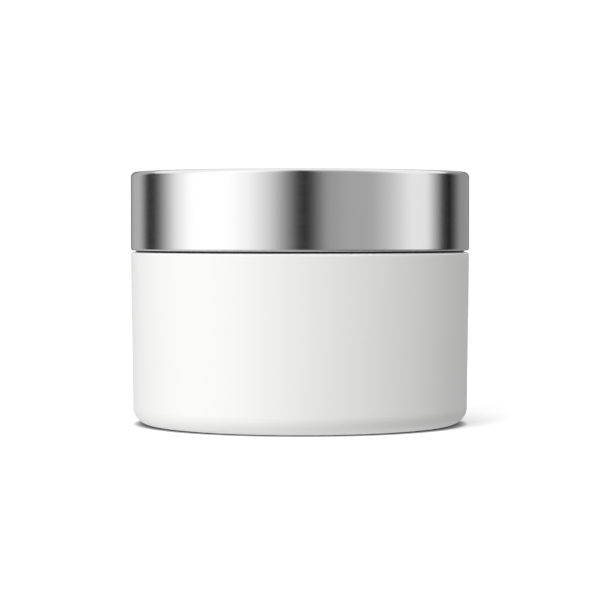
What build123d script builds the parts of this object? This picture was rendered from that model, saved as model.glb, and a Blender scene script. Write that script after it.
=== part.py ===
from build123d import *
import os
from math import radians, sqrt, tan

# A 50 ml cosmetic cream jar with double walls and a screw lid, in millimetres.
# The jar is an outer body with an inner cup snapped into it; the cup carries the threaded neck.
# The lid is a threaded plastic cap pressed into a drawn aluminium shell, with a foam liner in its roof.
# A plastic disc rests on the neck under the lid and keeps the cream off the liner.
# Origin: centre of the base. +Z is up, along the axis of the thread.

# --- outer body ---
BODY_RADIUS = 32.0          # at the shoulder
BODY_HEIGHT = 32.5          # base to shoulder
BODY_DRAFT = 0.65           # degrees that the wall leans in towards the base
BODY_WALL = 2.2
BODY_FLOOR = 2.2
BASE_CORNER = 3.2           # outer radius where the wall turns into the base
SHOULDER_CORNER = 0.4
INNER_CORNER = 2.0
FOOT_LIFT = 0.06            # the foot ring lifts the rounded corner clear of the table
FOOT_INSET = 0.3            # foot ring inside the end of the rounded corner
FOOT_WIDTH = 3.6            # the ring that the jar stands on
RECESS_DEPTH = 0.7          # the base inside the foot ring is lifted by this much
RECESS_CORNER = 0.4
GATE_RADIUS = 1.6           # moulding gate in the middle of the base
GATE_HEIGHT = 0.3

# --- inner cup ---
RIM_LAND = 1.4              # width of the body's own rim, outside the cup's flange
FLANGE_THICKNESS = 1.6
SHOULDER_WIDTH = 5.8        # from the body's outside to the root of the neck
NECK_HEIGHT = 10.7
NECK_WALL = 2.2
NECK_EDGE = 0.45            # radius on both edges of the neck's rim
CUP_WALL = 1.5
CUP_FLOOR = 1.5
CUP_DRAFT = 1.2             # degrees that the bore narrows below the neck
CUP_CORNER = 8.0            # inside radius at the cup's floor
CUP_LIFT = 3.4              # air gap between the cup and the body's floor

# --- snap joint between cup and body ---
SKIRT_LENGTH = 6.5
SKIRT_WALL = 1.2
SNAP_BEAD = 0.4             # radius of the bead's section
SNAP_DEPTH = 2.2            # bead below the flange
KEY_COUNT = 8               # keys in the body that stop the cup turning
KEY_WIDTH = 1.2
KEY_HEIGHT = 2.8            # height of a key inside its slot
KEY_REACH = 1.0             # how far a key stands out of the body's wall
KEY_CLEARANCE = 0.15

# --- thread ---
THREAD_LEAD = 6.0
THREAD_STARTS = 2
THREAD_DEPTH = 1.1
THREAD_ROOT = 1.5           # width of a ridge at its root
THREAD_CREST = 0.7          # width of a ridge at its crest
THREAD_SINK = 0.25          # how far a ridge reaches into the wall that carries it
THREAD_CLEARANCE = 0.4      # radial, root to crest
THREAD_FADE = 0.72          # cylinder that fades an inner ridge, as a share of the ridge's root radius
THREAD_LIFT = 2.0           # first ridge above the shoulder
NECK_TURNS = 0.92
CAP_TURNS = 0.5
CAP_THREAD_START = 0.22     # turns along the neck's ridge where the cap's ridge begins
LOAD_CLEARANCE = 0.12       # between the flanks that carry the lid's pull

# --- sealing disc ---
DISC_FLANGE = 0.8
DISC_STEP = 0.3             # flange edge inside the neck's outside
DISC_CLEARANCE = 0.15       # plug wall inside the bore
DISC_WALL = 0.9
DISC_DEPTH = 3.2            # well below the neck's rim
HANDLE_LENGTH = 18.0
HANDLE_WIDTH = 1.8
HANDLE_BAR = 1.1
HANDLE_POST = 1.6
HANDLE_DROP = 0.15          # top of the handle below the flange

# --- liner and cap ---
LINER_THICKNESS = 1.4
LINER_CLEARANCE = 0.4
LINER_EDGE = 0.2
CAP_PLATE = 1.4
CAP_SKIRT = 1.4             # wall of the threaded skirt
CAP_OUTER_SKIRT = 1.2
CAP_RIM_LIFT = 0.1          # rim of the outer skirt above the shoulder; it fills the seam under the hem
CAP_RIM_CORNER = 0.1
CAP_LIFT = 0.6              # threaded skirt above the shoulder
GUSSET_COUNT = 16
GUSSET_WIDTH = 0.8
GUSSET_LIFT = 2.5           # gussets end this far above the threaded skirt's end
NIB_COUNT = 6               # nibs that keep the liner in the cap's roof
NIB_ARC = 14.0              # degrees
NIB_HEIGHT = 0.5
NIB_REACH = 0.8

# --- shell ---
SHELL_WALL = 0.5
SHELL_RADIUS = BODY_RADIUS  # the lid is flush with the shoulder
SHELL_CORNER = 0.95         # outer radius round the top
HEM_CORNER = 0.45           # outer radius round the lower edge
HEM_WIDTH = 0.8             # the sheet turned in under the step of the cap's outer skirt
LID_GAP = 0.35              # between the shell and the shoulder
GLUE_GAP = 0.15             # film of glue between cap and shell

# --- clearances ---
FIT_GAP = 0.05              # between pieces that are pressed or snapped together
SEAT_GAP = 0.05             # between pieces that only rest on each other

# --- levels and radii that follow ---
thread_pitch = THREAD_LEAD / THREAD_STARTS
neck_radius = BODY_RADIUS - SHOULDER_WIDTH
neck_crest = neck_radius + THREAD_DEPTH
bore_radius = neck_radius - NECK_WALL
cap_root = neck_crest + THREAD_CLEARANCE
cap_crest = neck_radius + THREAD_CLEARANCE
shell_bore = SHELL_RADIUS - SHELL_WALL
hem_bore = SHELL_RADIUS - HEM_WIDTH

shoulder_z = BODY_HEIGHT
neck_top = shoulder_z + NECK_HEIGHT
flange_z = shoulder_z - FLANGE_THICKNESS
skirt_end = flange_z - SKIRT_LENGTH
snap_z = flange_z - SNAP_DEPTH
body_floor_z = RECESS_DEPTH + BODY_FLOOR
cup_bottom = body_floor_z + CUP_LIFT
cup_floor_z = cup_bottom + CUP_FLOOR
disc_z = neck_top + SEAT_GAP
disc_top = disc_z + DISC_FLANGE
liner_z = disc_top + SEAT_GAP
liner_top = liner_z + LINER_THICKNESS
plate_z = liner_top + SEAT_GAP
plate_top = plate_z + CAP_PLATE
shell_roof = plate_top + GLUE_GAP
lid_top = shell_roof + SHELL_WALL
lid_bottom = shoulder_z + LID_GAP
cap_end = shoulder_z + CAP_LIFT
cap_rim_end = shoulder_z + CAP_RIM_LIFT


def body_outside(z):
    """Radius of the body's drafted outer wall at height z."""
    return BODY_RADIUS - (shoulder_z - z) * tan(radians(BODY_DRAFT))


def body_inside(z):
    return body_outside(z) - BODY_WALL


def cup_inside(z):
    """Radius of the cup's bore, straight in the neck and drafted below the shoulder."""
    return bore_radius - max(0.0, shoulder_z - z) * tan(radians(CUP_DRAFT))


skirt_radius = body_inside(skirt_end) - FIT_GAP


def turned(corners):
    """Solid of revolution about Z. Each corner of the section is (radius, z, fillet radius)."""
    outline = FilletPolyline(
        *[(r, z) for r, z, _ in corners],
        radius=[fillet_radius for _, _, fillet_radius in corners],
        close=True,
    )
    return revolve(Plane.XZ * make_face(outline), Axis.Z)


def ring(centre_radius, z, section_radius):
    return Pos(0, 0, z) * Torus(centre_radius, section_radius)


def around(count, piece, first_angle=0.0):
    """Copies of one piece, evenly spaced about Z."""
    step = 360.0 / count
    return [Rot(0, 0, first_angle + i * step) * piece for i in range(count)]


def sector(inner, outer, low, high, width):
    """A block across the wall from inner to outer radius, on the +X side."""
    return Pos((inner + outer) / 2, 0, (low + high) / 2) * Box(outer - inner, width, high - low)


def thread_ridge(root, crest, turns):
    """One right-hand ridge from angle 0, with its middle at z 0 there, faded out at both ends."""
    outward = crest > root
    sunk = root - THREAD_SINK if outward else root + THREAD_SINK
    half_root = THREAD_ROOT / 2
    half_crest = THREAD_CREST / 2
    section = make_face(
        Polyline((sunk, -half_root), (crest, -half_crest), (crest, half_crest), (sunk, half_root), close=True)
    )
    path = Helix(pitch=THREAD_LEAD, height=THREAD_LEAD * turns, radius=root)
    ridge = sweep(Plane.XZ * section, path=path, is_frenet=True)
    for turn in (0.0, turns):
        cutter = fade_outward(root, crest) if outward else fade_inward(root)
        ridge -= Pos(0, 0, THREAD_LEAD * turn) * Rot(0, 0, 360 * turn) * cutter
    return ridge


def fade_outward(root, crest):
    """Cuts an outer ridge along a plane that touches its root, so that it rises gently."""
    reach = crest - root + THREAD_SINK
    half_chord = sqrt((crest + THREAD_SINK) ** 2 - root**2)
    return Pos(root + reach / 2, 0, 0) * Box(reach, 2 * half_chord, thread_pitch)


def fade_inward(root):
    """Cuts an inner ridge along a smaller cylinder that touches its root from inside."""
    cutter_radius = THREAD_FADE * root
    return Pos(root - cutter_radius, 0, 0) * Cylinder(cutter_radius, thread_pitch)


def make_outer_jar():
    foot_radius = body_outside(0) - BASE_CORNER - FOOT_INSET
    recess_radius = foot_radius - FOOT_WIDTH
    seat_radius = BODY_RADIUS - RIM_LAND
    jar = turned([
        (0, RECESS_DEPTH, 0),
        (recess_radius - RECESS_CORNER, RECESS_DEPTH, RECESS_CORNER),
        (recess_radius, 0, RECESS_CORNER),
        (foot_radius, 0, 0),
        (foot_radius, FOOT_LIFT, 0),
        (body_outside(FOOT_LIFT), FOOT_LIFT, BASE_CORNER),
        (BODY_RADIUS, shoulder_z, SHOULDER_CORNER),
        (seat_radius, shoulder_z, 0),
        (seat_radius, flange_z, 0),
        (body_inside(flange_z), flange_z, 0),
        (body_inside(body_floor_z), body_floor_z, INNER_CORNER),
        (0, body_floor_z, 0),
    ])
    jar -= ring(skirt_radius, snap_z, SNAP_BEAD + FIT_GAP)
    wall = body_inside(skirt_end)
    key_low = skirt_end - KEY_HEIGHT
    key = sector(wall - KEY_REACH, wall + BODY_WALL / 2, key_low, skirt_end + KEY_HEIGHT, KEY_WIDTH)
    for placed in around(KEY_COUNT, key):
        jar += placed
    gate_z = RECESS_DEPTH - GATE_HEIGHT
    return jar + Pos(0, 0, (gate_z + body_floor_z) / 2) * Cylinder(GATE_RADIUS, body_floor_z - gate_z)


def make_inner_cup():
    flange_radius = BODY_RADIUS - RIM_LAND - FIT_GAP
    cup = turned([
        (0, cup_bottom, 0),
        (cup_inside(cup_floor_z) + CUP_WALL, cup_bottom, CUP_CORNER),
        (cup_inside(flange_z) + CUP_WALL, flange_z, 0),
        (skirt_radius - SKIRT_WALL, flange_z, 0),
        (skirt_radius - SKIRT_WALL, skirt_end, 0),
        (skirt_radius, skirt_end, 0),
        (skirt_radius, flange_z, 0),
        (flange_radius, flange_z, 0),
        (flange_radius, shoulder_z, 0),
        (neck_radius, shoulder_z, NECK_EDGE),
        (neck_radius, neck_top, NECK_EDGE),
        (bore_radius, neck_top, NECK_EDGE),
        (bore_radius, shoulder_z, 0),
        (cup_inside(cup_floor_z), cup_floor_z, CUP_CORNER),
        (0, cup_floor_z, 0),
    ])
    cup += ring(skirt_radius, snap_z, SNAP_BEAD)
    slot = sector(
        skirt_radius - 2 * SKIRT_WALL,
        BODY_RADIUS,
        skirt_end - KEY_HEIGHT,
        skirt_end + KEY_HEIGHT + KEY_CLEARANCE,
        KEY_WIDTH + 2 * KEY_CLEARANCE,
    )
    for placed in around(KEY_COUNT, slot):
        cup -= placed
    ridge = Pos(0, 0, shoulder_z + THREAD_LIFT) * thread_ridge(neck_radius, neck_crest, NECK_TURNS)
    for placed in around(THREAD_STARTS, ridge):
        cup += placed
    return cup


def make_seal_disc():
    plug_radius = bore_radius - DISC_CLEARANCE
    well_radius = plug_radius - DISC_WALL
    flange_radius = neck_radius - DISC_STEP
    well_bottom = neck_top - DISC_DEPTH
    well_floor = well_bottom + DISC_WALL
    disc = turned([
        (0, well_bottom, 0),
        (plug_radius, well_bottom, DISC_WALL),
        (plug_radius, disc_z, 0),
        (flange_radius, disc_z, 0),
        (flange_radius, disc_top, DISC_FLANGE / 4),
        (well_radius, disc_top, DISC_FLANGE / 2),
        (well_radius, well_floor, DISC_WALL),
        (0, well_floor, 0),
    ])
    handle_top = disc_top - HANDLE_DROP
    height = handle_top - well_bottom - DISC_WALL / 2
    arch = Pos(0, 0, handle_top - height / 2) * Box(HANDLE_LENGTH, HANDLE_WIDTH, height)
    ends = arch.edges().filter_by(Axis.Y).group_by(Axis.Z)[-1]
    arch = fillet(ends, HANDLE_BAR)
    opening_top = handle_top - HANDLE_BAR
    opening = Pos(0, 0, (opening_top + well_floor) / 2) * Box(
        HANDLE_LENGTH - 2 * HANDLE_POST, 2 * HANDLE_WIDTH, opening_top - well_floor
    )
    return disc + (arch - opening)


def make_cap_liner():
    radius = cap_root - LINER_CLEARANCE
    return turned([
        (0, liner_z, 0),
        (radius, liner_z, LINER_EDGE),
        (radius, liner_top, LINER_EDGE),
        (0, liner_top, 0),
    ])


def make_inner_cap():
    cap_radius = shell_bore - FIT_GAP
    skirt_outside = cap_root + CAP_SKIRT
    outer_skirt_inside = cap_radius - CAP_OUTER_SKIRT
    rim_radius = hem_bore - FIT_GAP
    step_z = lid_bottom + SHELL_WALL + FIT_GAP
    cap = turned([
        (0, plate_z, 0),
        (cap_root, plate_z, 0),
        (cap_root, cap_end, NECK_EDGE),
        (skirt_outside, cap_end, 0),
        (skirt_outside, plate_z, 0),
        (outer_skirt_inside, plate_z, 0),
        (outer_skirt_inside, cap_rim_end, 0),
        (rim_radius, cap_rim_end, CAP_RIM_CORNER),
        (rim_radius, step_z, 0),
        (cap_radius, step_z, 0),
        (cap_radius, plate_top, SHELL_CORNER),
        (0, plate_top, 0),
    ])
    gusset = sector(
        skirt_outside - CAP_SKIRT / 2,
        outer_skirt_inside + CAP_OUTER_SKIRT / 2,
        cap_end + GUSSET_LIFT,
        plate_z + CAP_PLATE / 2,
        GUSSET_WIDTH,
    )
    for placed in around(GUSSET_COUNT, gusset):
        cap += placed
    for placed in around(NIB_COUNT, liner_nib()):
        cap += placed
    ridge_z = shoulder_z + THREAD_LIFT - touching_ridges() - LOAD_CLEARANCE + THREAD_LEAD * CAP_THREAD_START
    ridge = Rot(0, 0, 360 * CAP_THREAD_START) * thread_ridge(cap_root, cap_crest, CAP_TURNS)
    for placed in around(THREAD_STARTS, Pos(0, 0, ridge_z) * ridge):
        cap += placed
    return cap


def touching_ridges():
    """How far the cap's ridge lies below the neck's ridge, middle to middle, when their flanks touch."""
    flank_slope = (THREAD_ROOT - THREAD_CREST) / 2 / (THREAD_DEPTH + THREAD_SINK)
    return THREAD_ROOT - flank_slope * (THREAD_DEPTH + THREAD_CLEARANCE + 2 * THREAD_SINK)


def liner_nib():
    """A short inward bead just under the liner's edge."""
    top = liner_z - SEAT_GAP
    section = Polyline(
        (cap_root + THREAD_SINK, top),
        (cap_root - NIB_REACH, top - NIB_HEIGHT / 4),
        (cap_root - NIB_REACH, top - NIB_HEIGHT / 2),
        (cap_root + THREAD_SINK, top - 2 * NIB_HEIGHT),
        close=True,
    )
    return revolve(Plane.XZ * make_face(section), Axis.Z, revolution_arc=NIB_ARC)


def make_lid_shell():
    return turned([
        (0, shell_roof, 0),
        (shell_bore, shell_roof, SHELL_CORNER - SHELL_WALL),
        (shell_bore, lid_bottom + SHELL_WALL, 0),
        (hem_bore, lid_bottom + SHELL_WALL, 0),
        (hem_bore, lid_bottom, 0),
        (SHELL_RADIUS, lid_bottom, HEM_CORNER),
        (SHELL_RADIUS, lid_top, SHELL_CORNER),
        (0, lid_top, 0),
    ])


pieces = {
    "outer_jar": make_outer_jar(),
    "inner_cup": make_inner_cup(),
    "seal_disc": make_seal_disc(),
    "cap_liner": make_cap_liner(),
    "inner_cap": make_inner_cap(),
    "lid_shell": make_lid_shell(),
}

os.makedirs("parts", exist_ok=True)
for name, piece in pieces.items():
    export_step(piece, f"parts/{name}.step")
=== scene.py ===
import math

import bpy
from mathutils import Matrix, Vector


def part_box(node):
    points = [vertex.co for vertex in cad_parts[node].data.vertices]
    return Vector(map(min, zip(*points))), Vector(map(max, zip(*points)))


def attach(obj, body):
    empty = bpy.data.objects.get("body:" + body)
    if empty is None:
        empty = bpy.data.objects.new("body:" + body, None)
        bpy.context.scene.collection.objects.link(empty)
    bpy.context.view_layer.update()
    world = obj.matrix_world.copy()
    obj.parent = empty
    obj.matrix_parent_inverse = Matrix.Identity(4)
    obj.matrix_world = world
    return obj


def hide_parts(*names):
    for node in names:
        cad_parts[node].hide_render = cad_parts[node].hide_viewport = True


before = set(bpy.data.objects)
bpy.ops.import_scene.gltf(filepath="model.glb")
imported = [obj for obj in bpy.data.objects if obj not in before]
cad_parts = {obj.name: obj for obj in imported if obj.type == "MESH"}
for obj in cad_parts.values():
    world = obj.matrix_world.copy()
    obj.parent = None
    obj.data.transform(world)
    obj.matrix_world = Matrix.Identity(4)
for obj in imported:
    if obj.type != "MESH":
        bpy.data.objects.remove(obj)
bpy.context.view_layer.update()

mm = 0.001
print("frame loaded:", len(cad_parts), "CAD nodes")


# Small helpers

def toLinear(hexColour, alpha=1.0):
    # sRGB hex to the linear colour that the shaders work in
    colour = []
    for start in (1, 3, 5):
        value = int(hexColour[start:start + 2], 16) / 255
        colour.append(value / 12.92 if value <= 0.04045 else ((value + 0.055) / 1.055) ** 2.4)
    return (*colour, alpha)


def addNode(tree, kind, inputs=None, **settings):
    # one node with its settings, and its inputs either linked or set
    node = tree.nodes.new(kind)
    for name, value in settings.items():
        setattr(node, name, value)
    for name, value in (inputs or {}).items():
        if isinstance(value, bpy.types.NodeSocket):
            tree.links.new(value, node.inputs[name])
        else:
            node.inputs[name].default_value = value
    return node


def newMaterial(name):
    material = bpy.data.materials.new(name)
    material.use_nodes = True
    tree = material.node_tree
    return material, tree, tree.nodes["Principled BSDF"]


def giveMaterial(piece, material):
    piece.data.materials.clear()
    piece.data.materials.append(material)


# Turned pieces: a section drawn as corners with radii, spun round the jar's axis

lathe = {
    "segments": 288,          # round the axis
    "arcStep": 9.0,           # degrees of a rounded corner per edge
    "tinyEdge": 0.06 * mm,    # a cut or moulded edge is never quite sharp
}


def roundedSection(corners):
    # corners are (radius, height, fillet), anticlockwise with the material on the left.
    # Gives (radius, height, normal) points. A corner on the axis stays a single point.
    section = []
    for i, (radius, height, fillet) in enumerate(corners):
        here = Vector((radius, height))
        if radius == 0:
            section.append((here, Vector((0, -1 if i == 0 else 1))))
            continue
        toBefore = (Vector(corners[i - 1][:2]) - here).normalized()
        toAfter = (Vector(corners[(i + 1) % len(corners)][:2]) - here).normalized()
        fillet = fillet or lathe["tinyEdge"]
        halfAngle = toBefore.angle(toAfter) / 2
        centre = here + (toBefore + toAfter).normalized() * fillet / math.sin(halfAngle)
        turn = math.pi - 2 * halfAngle
        side = 1 if toAfter.cross(toBefore) > 0 else -1    # 1 on an outward corner
        start = here + toBefore * fillet / math.tan(halfAngle) - centre
        steps = max(2, math.ceil(turn / math.radians(lathe["arcStep"])))
        for k in range(steps + 1):
            angle = side * turn * k / steps
            spoke = Vector((
                start.x * math.cos(angle) - start.y * math.sin(angle),
                start.x * math.sin(angle) + start.y * math.cos(angle),
            ))
            section.append((centre + spoke, spoke.normalized() * side))
    return section


def turnedPiece(name, corners):
    section = roundedSection(corners)
    count = lathe["segments"]
    closed = section[0][0].x > 0
    vertices, normals, rings = [], [], []
    for point, normal in section:
        first = len(vertices)
        onAxis = point.x == 0
        for k in range(1 if onAxis else count):
            angle = 2 * math.pi * k / count
            vertices.append((point.x * math.cos(angle), point.x * math.sin(angle), point.y))
            normals.append((normal.x * math.cos(angle), normal.x * math.sin(angle), normal.y))
        rings.append([first + (0 if onAxis else k) for k in range(count)])
    pairs = list(zip(rings, rings[1:]))
    if closed:
        pairs.append((rings[-1], rings[0]))
    faces = []
    for low, high in pairs:
        for k in range(count):
            nextOne = (k + 1) % count
            corner = [low[k], low[nextOne], high[nextOne], high[k]]
            faces.append(list(dict.fromkeys(corner)))
    mesh = bpy.data.meshes.new(name)
    mesh.from_pydata(vertices, [], faces)
    mesh.shade_smooth()
    mesh.normals_split_custom_set_from_vertices(normals)
    piece = bpy.data.objects.new(name, mesh)
    bpy.context.scene.collection.objects.link(piece)
    return piece


# Surface coordinates round the axis, for the spun finish

def turnedCoordinates(tree, along, across):
    # Streaks run round the axis: along and across are their length and spacing in metres.
    # Height minus radius grows along the outline, both up the wall and in over the top.
    place = addNode(tree, "ShaderNodeTexCoord").outputs["Object"]
    parts = addNode(tree, "ShaderNodeSeparateXYZ", {"Vector": place}).outputs
    flat = addNode(tree, "ShaderNodeCombineXYZ", {"X": parts["X"], "Y": parts["Y"]}).outputs["Vector"]
    radius = addNode(tree, "ShaderNodeVectorMath", {0: flat}, operation="LENGTH").outputs["Value"]
    direction = addNode(tree, "ShaderNodeVectorMath", {0: flat}, operation="NORMALIZE").outputs["Vector"]
    outline = addNode(tree, "ShaderNodeMath", {0: parts["Z"], 1: radius}, operation="SUBTRACT")
    bodyRadius = 32 * mm       # where the streaks have their true length
    aroundAxis = addNode(tree, "ShaderNodeVectorMath", {
        0: direction, "Scale": bodyRadius / along,
    }, operation="SCALE").outputs[0]
    rise = addNode(tree, "ShaderNodeMath", {0: outline.outputs[0], 1: 1 / across}, operation="MULTIPLY")
    lift = addNode(tree, "ShaderNodeCombineXYZ", {"Z": rise.outputs[0]}).outputs[0]
    return addNode(tree, "ShaderNodeVectorMath", {0: aroundAxis, 1: lift}, operation="ADD").outputs[0]


# Materials

noiseRange = {"From Min": 0.3, "From Max": 0.7}    # where nearly all values of a noise texture lie
polyolefinIor = 1.49
scatterByColour = (1.0, 0.95, 0.9)                 # red light goes a little further in than blue

aluminium = {
    "colour": "#EDEDEE",       # aluminium under a thin clear anodic film
    "roughness": 0.2,
    "roughnessSpread": 0.02,
    "anisotropy": 0.85,
    "grainLength": 9 * mm,
    "grainSpacing": 0.16 * mm, # 0.03 mm on the real sheet, drawn coarser so that it shows
    "grainDepth": 0.0002 * mm,
}


def satinAluminium():
    # Drawn aluminium, brushed while it spins and clear anodised: fine rings round the axis that
    # smear reflections up and down the wall and into spokes on the top.
    material, tree, shader = newMaterial("satin spun aluminium")
    grain = addNode(tree, "ShaderNodeTexNoise", {
        "Vector": turnedCoordinates(tree, aluminium["grainLength"], aluminium["grainSpacing"]),
        "Scale": 1.0, "Detail": 3.0, "Roughness": 0.6,
    })
    spread = aluminium["roughnessSpread"]
    rough = addNode(tree, "ShaderNodeMapRange", {
        "Value": grain.outputs["Fac"], **noiseRange,
        "To Min": aluminium["roughness"] - spread, "To Max": aluminium["roughness"] + spread,
    })
    bump = addNode(tree, "ShaderNodeBump", {
        "Height": grain.outputs["Fac"], "Distance": aluminium["grainDepth"], "Strength": 1.0,
    })
    tangent = addNode(tree, "ShaderNodeTangent", direction_type="RADIAL", axis="Z")
    shader.inputs["Base Color"].default_value = toLinear(aluminium["colour"])
    shader.inputs["Metallic"].default_value = 1.0
    shader.inputs["Anisotropic"].default_value = aluminium["anisotropy"]
    shader.inputs["Anisotropic Rotation"].default_value = 0.25    # a quarter turn
    tree.links.new(rough.outputs["Result"], shader.inputs["Roughness"])
    tree.links.new(bump.outputs["Normal"], shader.inputs["Normal"])
    tree.links.new(tangent.outputs["Tangent"], shader.inputs["Tangent"])
    return material


def mouldedPlastic(name, look):
    # Injection-moulded polyolefin: an even colour with the mould's own grain. The white ones let
    # a little light in.
    material, tree, shader = newMaterial(name)
    place = addNode(tree, "ShaderNodeTexCoord").outputs["Object"]
    grain = addNode(tree, "ShaderNodeTexNoise", {
        "Vector": place, "Scale": 1 / look["grainSize"], "Detail": 2.0, "Roughness": 0.5,
    })
    flow = addNode(tree, "ShaderNodeTexNoise", {
        "Vector": place, "Scale": 1 / look["flowSize"], "Detail": 1.0,
    })
    tint = addNode(tree, "ShaderNodeMix", {
        "Factor": flow.outputs["Fac"], "A": toLinear(look["colour"]), "B": toLinear(look["flowColour"]),
    }, data_type="RGBA")
    rough = addNode(tree, "ShaderNodeMapRange", {
        "Value": grain.outputs["Fac"], **noiseRange,
        "To Min": look["roughness"] - look["roughnessSpread"],
        "To Max": look["roughness"] + look["roughnessSpread"],
    })
    bump = addNode(tree, "ShaderNodeBump", {
        "Height": grain.outputs["Fac"], "Distance": look["grainDepth"], "Strength": 1.0,
    })
    tree.links.new(tint.outputs["Result"], shader.inputs["Base Color"])
    tree.links.new(rough.outputs["Result"], shader.inputs["Roughness"])
    tree.links.new(bump.outputs["Normal"], shader.inputs["Normal"])
    shader.inputs["IOR"].default_value = polyolefinIor
    shader.inputs["Subsurface Weight"].default_value = look["translucency"]
    shader.inputs["Subsurface Radius"].default_value = scatterByColour
    shader.inputs["Subsurface Scale"].default_value = look["depth"]
    return material


bodyPlastic = {
    "colour": "#F3F3F2", "flowColour": "#F1F1F0", "flowSize": 18 * mm,
    "roughness": 0.43, "roughnessSpread": 0.05,
    "grainSize": 0.22 * mm,    # spark-eroded mould, 0.05 mm in reality, drawn coarser so that it shows
    "grainDepth": 0.004 * mm,
    "translucency": 0.12, "depth": 1.0 * mm,
}
cupPlastic = {
    "colour": "#F1F1EF", "flowColour": "#EDEEEC", "flowSize": 14 * mm,
    "roughness": 0.26, "roughnessSpread": 0.01,
    "grainSize": 0.8 * mm, "grainDepth": 0.0002 * mm,
    "translucency": 0.2, "depth": 1.2 * mm,
}
discPlastic = {
    "colour": "#EBEEEF", "flowColour": "#E4E8EA", "flowSize": 9 * mm,
    "roughness": 0.38, "roughnessSpread": 0.05,
    "grainSize": 0.35 * mm, "grainDepth": 0.003 * mm,
    "translucency": 0.45, "depth": 1.5 * mm,
}
# painted shade: the inner cap is near-black so the slot between the lid's hem and the jar's shoulder
# reads as a dark shadow line
capSeamShadePlastic = {
    "colour": "#1C1C1D", "flowColour": "#202021", "flowSize": 12 * mm,
    "roughness": 0.36, "roughnessSpread": 0.04,
    "grainSize": 0.8 * mm, "grainDepth": 0.001 * mm,
    "translucency": 0.0, "depth": 1.2 * mm,
}
linerFoam = {
    "colour": "#EAE9E5",
    "cellColour": "#D9D8D3",
    "cellSize": 0.3 * mm,      # closed cells of extruded polyethylene foam
    "cellDepth": 0.05 * mm,
    "roughness": 0.7,
    "ior": 1.5,
}


def polyethyleneFoam():
    # Extruded polyethylene foam: closed cells that show as a fine leathery pebble, with no gloss.
    material, tree, shader = newMaterial("polyethylene foam")
    place = addNode(tree, "ShaderNodeTexCoord").outputs["Object"]
    cells = addNode(tree, "ShaderNodeTexVoronoi", {
        "Vector": place, "Scale": 1 / linerFoam["cellSize"],
    }, feature="SMOOTH_F1")
    tint = addNode(tree, "ShaderNodeMix", {
        "Factor": cells.outputs["Distance"],
        "A": toLinear(linerFoam["colour"]), "B": toLinear(linerFoam["cellColour"]),
    }, data_type="RGBA")
    bump = addNode(tree, "ShaderNodeBump", {
        "Height": cells.outputs["Distance"], "Distance": linerFoam["cellDepth"], "Strength": 1.0,
    }, invert=True)
    tree.links.new(tint.outputs["Result"], shader.inputs["Base Color"])
    tree.links.new(bump.outputs["Normal"], shader.inputs["Normal"])
    shader.inputs["Roughness"].default_value = linerFoam["roughness"]
    shader.inputs["IOR"].default_value = linerFoam["ior"]
    return material


lidMetal = satinAluminium()
bodyWhite = mouldedPlastic("matte polypropylene", bodyPlastic)
cupWhite = mouldedPlastic("smooth polypropylene", cupPlastic)
discWhite = mouldedPlastic("waxy polyethylene", discPlastic)
# the near-black cap stands in for the shade inside the lid seam
capSeamShadeBlack = mouldedPlastic("cap polypropylene", capSeamShadePlastic)
foam = polyethyleneFoam()
print("materials made")


# The lid's drawn shell

lidShell = {
    "sheet": 0.5 * mm,
    "topCorner": 0.95 * mm,
    "hemCorner": 0.45 * mm,
    "hemWidth": 0.8 * mm,
}


def makeLidShell():
    low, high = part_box("lid_shell")
    radius = high.x
    bottom, top = low.z, high.z
    sheet = lidShell["sheet"]
    bore = radius - sheet
    hem = radius - lidShell["hemWidth"]
    shell = turnedPiece("lid_shell_spun", [
        (0, top - sheet, 0),
        (bore, top - sheet, lidShell["topCorner"] - sheet),
        (bore, bottom + sheet, 0),
        (hem, bottom + sheet, 0),
        (hem, bottom, 0),
        (radius, bottom, lidShell["hemCorner"]),
        (radius, top, lidShell["topCorner"]),
        (0, top, 0),
    ])
    giveMaterial(shell, lidMetal)
    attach(shell, "lid")
    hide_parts("lid_shell")
    return shell


makeLidShell()
for node, material in {
    "outer_jar": bodyWhite,
    "inner_cup": cupWhite,
    "seal_disc": discWhite,
    "cap_liner": foam,
    # painted shade in the lid seam: the inner cap is given the near-black plastic
    "inner_cap": capSeamShadeBlack,
}.items():
    giveMaterial(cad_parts[node], material)
print("pieces made")


# Studio: white floor, a ring of panels round the jar, and soft lights

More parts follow.
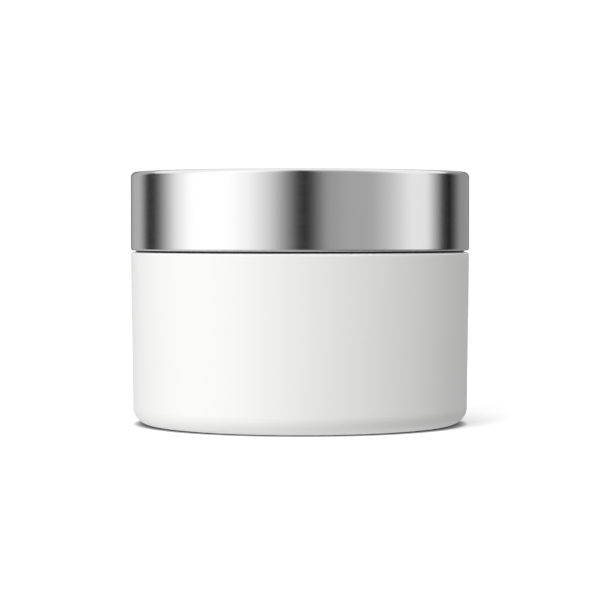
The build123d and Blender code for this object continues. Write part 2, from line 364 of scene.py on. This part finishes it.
floorLook = {
    "colour": "#FAFAFA",
    "size": 1.1,
    "paintedShadowReach": 1.6 * mm,    # how far under the jar's edge the contact shadow is gathered
    # dark grey painted into the floor as the contact shadow under the jar's edge
    "paintedShadowColour": "#383838",
    "paintedShadowSamples": 16,
}
studio = {
    "background": 1.02,
    # what the metal and the glossy plastic mirror
    "ceiling": 1.0,
    "ceilingCentre": 0.6,            # a long softbox from left to right, a little behind the jar
    "ceilingSpread": (1.0, 0.6),     # depth over height, from its middle to its soft edge
    "ceilingStart": (0.3, 0.45),     # how steep a direction is where its ends start
    "backPanel": 0.45,               # a card behind the jar, below the softbox
    "backWidth": (0.5, 0.3),         # sideways part of a direction, from the card's soft edge inwards
    "backDepth": (0.0, 0.3),         # backward part of a direction, from where the card starts
    "backStart": (0.18, 0.3),        # how steep a direction is where the card starts
    "mirroredBelow": (0.6, 0.08),    # left and right
    "mirroredBelowStart": (-0.2, -0.6),
    # level of the panels by direction round the jar, in degrees from the camera
    "panels": [
        (-180, 0.0), (-170, 0.04), (-163, 0.34), (-150, 0.46), (-139, 0.46), (-132, 0.26), (-126, 0.05),
        (-119, 0.02), (-112, 0.1), (-104, 0.36), (-92, 0.88), (-78, 1.2), (-50, 1.2), (-34, 1.04),
        (-20, 0.7), (-8, 0.25), (-1, 0.04), (4, 0.01), (9, 0.09), (18, 0.35), (34, 0.43), (48, 0.43),
        (62, 0.6), (80, 0.92), (95, 0.9), (104, 0.42), (112, 0.06), (121, 0.0), (128, 0.08),
        (138, 0.28), (163, 0.32), (170, 0.04),
    ],
    # the light that matte surfaces gather: from the sides by direction, from above, and from below
    # at the left and the right
    "softPanels": [(-120, 0.1), (-60, 0.5), (-20, 0.7), (20, 0.7), (50, 0.15), (110, 0.9)],
    "softAbove": 0.8,
    "softAboveStart": (0.2, 0.9),
    "softBelow": (1.6, 0.1),
    "softBelowStart": (-0.1, -0.6),
    "leftToRight": (-0.8, 0.8),      # sideways part of a direction, where left ends and right begins
}
keyLight = {"azimuth": -36, "elevation": 46, "distance": 2.2, "size": 1.3, "power": 21}
topLight = {"height": 2.2, "size": 1.4, "power": 18}


def makeFloor():
    # Matte white paper. Painted contact shadow: the floor's colour goes dark grey where ambient
    # occlusion finds the jar's edge close.
    half = floorLook["size"] / 2
    mesh = bpy.data.meshes.new("studio_floor")
    corners = [(-half, -half, 0), (half, -half, 0), (half, half, 0), (-half, half, 0)]
    mesh.from_pydata(corners, [], [(0, 1, 2, 3)])
    floor = bpy.data.objects.new("studio_floor", mesh)
    bpy.context.scene.collection.objects.link(floor)
    material, tree, shader = newMaterial("floor paper")
    paintedShadowMask = addNode(tree, "ShaderNodeAmbientOcclusion", {
        "Distance": floorLook["paintedShadowReach"],
    }, samples=floorLook["paintedShadowSamples"])
    # painted shadow: the floor colour is mixed towards dark grey where the jar is near
    shade = addNode(tree, "ShaderNodeMix", {
        "Factor": paintedShadowMask.outputs["AO"],
        "A": toLinear(floorLook["paintedShadowColour"]), "B": toLinear(floorLook["colour"]),
    }, data_type="RGBA")
    tree.links.new(shade.outputs["Result"], shader.inputs["Base Color"])
    shader.inputs["Roughness"].default_value = 1.0
    shader.inputs["Specular IOR Level"].default_value = 0.0
    giveMaterial(floor, material)
    floor.visible_glossy = False
    floor.visible_diffuse = False


def grey(level):
    return (level, level, level, 1.0)


def mixColours(tree, factor, low, high):
    mix = addNode(tree, "ShaderNodeMix", {"Factor": factor, "A": low, "B": high}, data_type="RGBA")
    return mix.outputs["Result"]


def smoothBlend(tree, value, start, end, low, high):
    # from low to high while the value goes from start to end
    factor = addNode(tree, "ShaderNodeMapRange", {
        "Value": value, "From Min": start, "From Max": end,
    }, interpolation_type="SMOOTHSTEP").outputs["Result"]
    return mixColours(tree, factor, low, high)


def makeWorld():
    world = bpy.data.worlds.new("studio")
    world.use_nodes = True
    world.cycles.sampling_method = "NONE"    # the soft light and the mirrored ring stay apart
    bpy.context.scene.world = world
    tree = world.node_tree
    tree.nodes.clear()
    direction = addNode(tree, "ShaderNodeTexCoord").outputs["Generated"]
    parts = addNode(tree, "ShaderNodeSeparateXYZ", {"Vector": direction}).outputs

    def calculate(operation, *values):
        return addNode(tree, "ShaderNodeMath", dict(enumerate(values)), operation=operation).outputs[0]

    azimuth = calculate("ARCTAN2", parts["X"], calculate("MULTIPLY", parts["Y"], -1.0))
    place = addNode(tree, "ShaderNodeMapRange", {
        "Value": azimuth, "From Min": -math.pi, "From Max": math.pi,
    }).outputs["Result"]

    def roundTheJar(panels):
        ring = addNode(tree, "ShaderNodeValToRGB", {"Fac": place})
        stops = ring.color_ramp.elements
        stops.remove(stops[-1])
        for i, (angle, level) in enumerate(panels):
            stop = stops[0] if i == 0 else stops.new(0.5 + angle / 360)
            stop.position = 0.5 + angle / 360
            stop.color = grey(level)
        return ring.outputs["Color"]

    def fromLeftToRight(levels):
        return smoothBlend(tree, parts["X"], *studio["leftToRight"], grey(levels[0]), grey(levels[1]))

    ring = roundTheJar(studio["panels"])
    lowestRise = 0.05    # keeps the division below away from zero
    slant = calculate("DIVIDE", parts["Y"], calculate("MAXIMUM", parts["Z"], lowestRise))
    spread = calculate("ABSOLUTE", calculate("SUBTRACT", slant, studio["ceilingCentre"]))
    sideways = calculate("ABSOLUTE", parts["X"])
    card = smoothBlend(tree, sideways, *studio["backWidth"], ring, grey(studio["backPanel"]))
    card = smoothBlend(tree, parts["Y"], *studio["backDepth"], ring, card)
    overhead = smoothBlend(tree, spread, *studio["ceilingSpread"], card, grey(studio["ceiling"]))
    low = smoothBlend(tree, parts["Z"], *studio["backStart"], ring, card)
    mirrored = smoothBlend(tree, parts["Z"], *studio["ceilingStart"], low, overhead)
    below = fromLeftToRight(studio["mirroredBelow"])
    mirrored = smoothBlend(tree, parts["Z"], *studio["mirroredBelowStart"], mirrored, below)

    soft = roundTheJar(studio["softPanels"])
    soft = smoothBlend(tree, parts["Z"], *studio["softAboveStart"], soft, grey(studio["softAbove"]))
    below = fromLeftToRight(studio["softBelow"])
    soft = smoothBlend(tree, parts["Z"], *studio["softBelowStart"], soft, below)

    ray = addNode(tree, "ShaderNodeLightPath").outputs
    lit = mixColours(tree, ray["Is Diffuse Ray"], mirrored, soft)
    shown = mixColours(tree, ray["Is Camera Ray"], lit, grey(studio["background"]))
    background = addNode(tree, "ShaderNodeBackground", {"Color": shown, "Strength": 1.0})
    addNode(tree, "ShaderNodeOutputWorld", {"Surface": background.outputs["Background"]})


def addAreaLight(name, place, size, power):
    light = bpy.data.lights.new(name, "AREA")
    light.shape = "DISK"
    light.size = size
    light.energy = power
    lamp = bpy.data.objects.new(name, light)
    lamp.location = place
    lamp.rotation_euler = (-Vector(place)).to_track_quat("-Z", "Y").to_euler()
    bpy.context.scene.collection.objects.link(lamp)
    lamp.visible_camera = False
    lamp.visible_glossy = False
    return lamp


def makeLights():
    azimuth, elevation = math.radians(keyLight["azimuth"]), math.radians(keyLight["elevation"])
    place = Vector((
        math.sin(azimuth) * math.cos(elevation),
        -math.cos(azimuth) * math.cos(elevation),
        math.sin(elevation),
    )) * keyLight["distance"]
    addAreaLight("key_softbox", place, keyLight["size"], keyLight["power"])
    addAreaLight("top_softbox", (0, 0, topLight["height"]), topLight["size"], topLight["power"])


makeFloor()
makeWorld()
makeLights()
print("studio made")


# Camera

cameraLook = {
    "distance": 464.4 * mm,    # from the jar's axis
    "height": 36.9 * mm,
    "aim": 23.4 * mm,          # height on the axis that the middle of the frame looks at
    "lens": 146.75,
    "clipStart": 10 * mm,
}


def makeCamera():
    camera = bpy.data.objects.new("camera", bpy.data.cameras.new("camera"))
    camera.data.lens = cameraLook["lens"]
    camera.data.clip_start = cameraLook["clipStart"]
    camera.location = (0, -cameraLook["distance"], cameraLook["height"])
    gaze = Vector((0, 0, cameraLook["aim"])) - camera.location
    camera.rotation_euler = gaze.to_track_quat("-Z", "Y").to_euler()
    bpy.context.scene.collection.objects.link(camera)
    bpy.context.scene.camera = camera


makeCamera()
bpy.context.scene.view_settings.view_transform = "Standard"
bpy.context.view_layer.update()
print("camera made")
